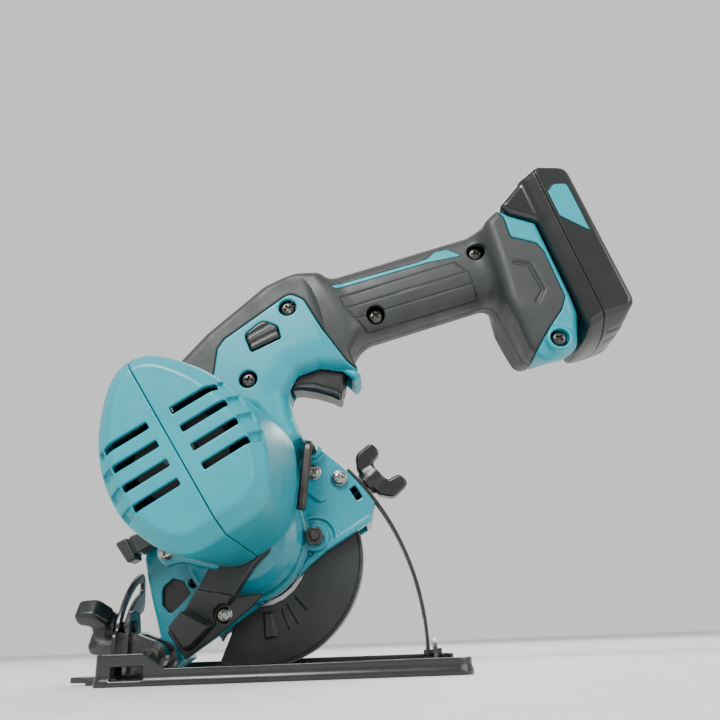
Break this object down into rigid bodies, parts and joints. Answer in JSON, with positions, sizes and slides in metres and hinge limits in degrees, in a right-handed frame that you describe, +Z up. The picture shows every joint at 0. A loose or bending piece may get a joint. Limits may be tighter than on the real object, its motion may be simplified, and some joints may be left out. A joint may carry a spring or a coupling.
{
  "type": "cordless circular saw",
  "caption": "Compact battery circular saw with a bar grip: painted blade case, geared motor pod, swinging lower guard and a tilting base with depth and bevel clamps.",
  "frame": {"origin": "underside of the sole at the middle of its length, 48 mm in from its motor-side edge", "axes": "+X to the rear (handle end), +Y to the blade side, +Z up; the sole stands on Z = 0"},
  "size_m": [0.2622, 0.14, 0.2447],
  "materials": {
    "teal_plastic": "moulded, semi-gloss",
    "teal_paint": "painted die casting, semi-gloss",
    "elastomer": "soft matte overmould",
    "black_plastic": "semi-gloss",
    "guard_plastic": "dark grey, satin",
    "black_steel": "black paint on pressed steel",
    "black_screw": "blackened",
    "zinc_screw": "zinc plated",
    "bright_steel": "ground",
    "tool_steel": "dark tool steel",
    "motor_steel": "machined",
    "lamination": "stacked sheet",
    "copper": "turned",
    "cell_wrap": "film-wrapped cans"
  },
  "bodies": {
    "base": {"base_plate": "black_steel", "bevel_quadrant": "black_steel", "rear_tilt_bracket": "black_steel", "front_tilt_pin": "black_steel", "rear_tilt_pin": "black_steel"},
    "tilt_frame": {"front_tilt_bracket": "black_steel", "depth_guide": "black_steel", "depth_pivot_pin": "black_steel"},
    "bevel_clamp": {"bevel_knob": "black_plastic"},
    "depth_clamp": {"depth_knob": "black_plastic"},
    "spindle_set": {"spindle": "bright_steel", "output_gear": "motor_steel", "inner_flange": "motor_steel", "blade": "bright_steel", "outer_flange": "motor_steel", "blade_bolt": "tool_steel"},
    "idler_set": {"idler_gear": "motor_steel"},
    "armature": {"armature_shaft": "bright_steel", "armature_core": "lamination", "commutator": "copper", "cooling_fan": "black_plastic"},
    "guard": {"lower_guard": "guard_plastic"},
    "trigger_lever": {"trigger": "black_plastic"},
    "lock_off": {"lock_off_button": "black_plastic"},
    "spindle_lock": {"shaft_lock": "black_plastic"},
    "battery": {"battery_cover": "black_plastic", "battery_tub": "black_plastic", "battery_cells": "cell_wrap"},
    "battery_catch": {"battery_button": "black_plastic"},
    "wrench": {"hex_wrench": "tool_steel"},
    "saw_body": {"bearing_retainer": "motor_steel", "blade_case": "teal_paint", "blower_duct": "black_plastic", "brush_holder": "black_plastic", "case_screw_1": "zinc_screw", "case_screw_2": "zinc_screw", "case_stud_nut": "black_screw", "duct_screw": "zinc_screw", "gear_housing": "teal_paint", "grip_overmould_left": "elastomer", "grip_overmould_right": "elastomer", "guard_spring": "bright_steel", "handle_screw_1": "black_screw", "handle_screw_2": "black_screw", "handle_screw_3": "black_screw", "handle_screw_4": "black_screw", "handle_screw_5": "black_screw", "handle_shell_left": "teal_plastic", "handle_shell_right": "teal_plastic", "idler_shaft": "bright_steel", "motor_can": "motor_steel", "motor_front_bearing": "bright_steel", "motor_housing_front": "teal_plastic", "motor_housing_rear": "teal_plastic", "motor_rear_bearing": "bright_steel", "spindle_bearing": "bright_steel", "switch_module": "black_plastic", "terminal_block": "black_plastic"}
  },
  "joints": [
    {"name": "bevel_tilt", "type": "hinge", "parent": "base", "child": "tilt_frame", "pos_m": [-0.07, 0.022, 0.007], "axis": [-1, 0, 0], "range_deg": [0, 45]},
    {"name": "depth_swing", "type": "hinge", "parent": "tilt_frame", "child": "saw_body", "pos_m": [-0.062, 0, 0.01], "axis": [0, 1, 0], "range_deg": [0, 31]},
    {"name": "bevel_knob_turn", "type": "hinge", "parent": "tilt_frame", "child": "bevel_clamp", "pos_m": [-0.0789, -0.01001, 0.02303], "axis": [1, 0, 0], "range_deg": [0, 90]},
    {"name": "depth_knob_turn", "type": "hinge", "parent": "saw_body", "child": "depth_clamp", "pos_m": [0.0316, 0.022, 0.08716], "axis": [0.7716, 0, 0.6361], "range_deg": [0, 90]},
    {"name": "spindle_spin", "type": "hinge", "parent": "saw_body", "child": "spindle_set", "pos_m": [-0.01915, 0, 0.05325], "axis": [0, 1, 0], "continuous": true},
    {"name": "idler_spin", "type": "hinge", "parent": "saw_body", "child": "idler_set", "pos_m": [-0.02506, 0, 0.06972], "axis": [0, 1, 0], "continuous": true},
    {"name": "armature_spin", "type": "hinge", "parent": "saw_body", "child": "armature", "pos_m": [-0.03632, 0, 0.08376], "axis": [0, 1, 0], "continuous": true},
    {"name": "guard_swing", "type": "hinge", "parent": "saw_body", "child": "guard", "pos_m": [-0.01915, 0, 0.05325], "axis": [0, -1, 0], "range_deg": [0, 92], "stiffness_Nm_per_rad": 0.06, "springref_deg": -34.38},
    {"name": "trigger_pull", "type": "slide", "parent": "saw_body", "child": "trigger_lever", "axis": [-0.3618, 0, 0.9322], "range_m": [0, 0.004], "stiffness_N_per_m": 900, "springref_m": -0.003},
    {"name": "lock_off_press", "type": "slide", "parent": "saw_body", "child": "lock_off", "axis": [0, 1, 0], "range_m": [0, 0.0025], "stiffness_N_per_m": 600, "springref_m": -0.002},
    {"name": "spindle_lock_press", "type": "slide", "parent": "saw_body", "child": "spindle_lock", "axis": [0.8572, 0, 0.515], "range_m": [0, 0.0035], "stiffness_N_per_m": 600, "springref_m": -0.002},
    {"name": "battery_slide", "type": "slide", "parent": "saw_body", "child": "battery", "axis": [-0.2756, 0, 0.9613], "range_m": [0, 0.045]},
    {"name": "battery_button_press", "type": "slide", "parent": "battery", "child": "battery_catch", "axis": [0.9613, 0, 0.2756], "range_m": [0, 0.002], "stiffness_N_per_m": 700, "springref_m": -0.002},
    {"name": "wrench_turn", "type": "hinge", "parent": "saw_body", "child": "wrench", "pos_m": [0.00688, -0.008, 0.10505], "axis": [0, -1, 0], "range_deg": [0, 60]}
  ],
  "couplings": [
    {"joint": "idler_spin", "follows": "spindle_spin", "ratio": -3.375},
    {"joint": "armature_spin", "follows": "spindle_spin", "ratio": 11.812}
  ]
}
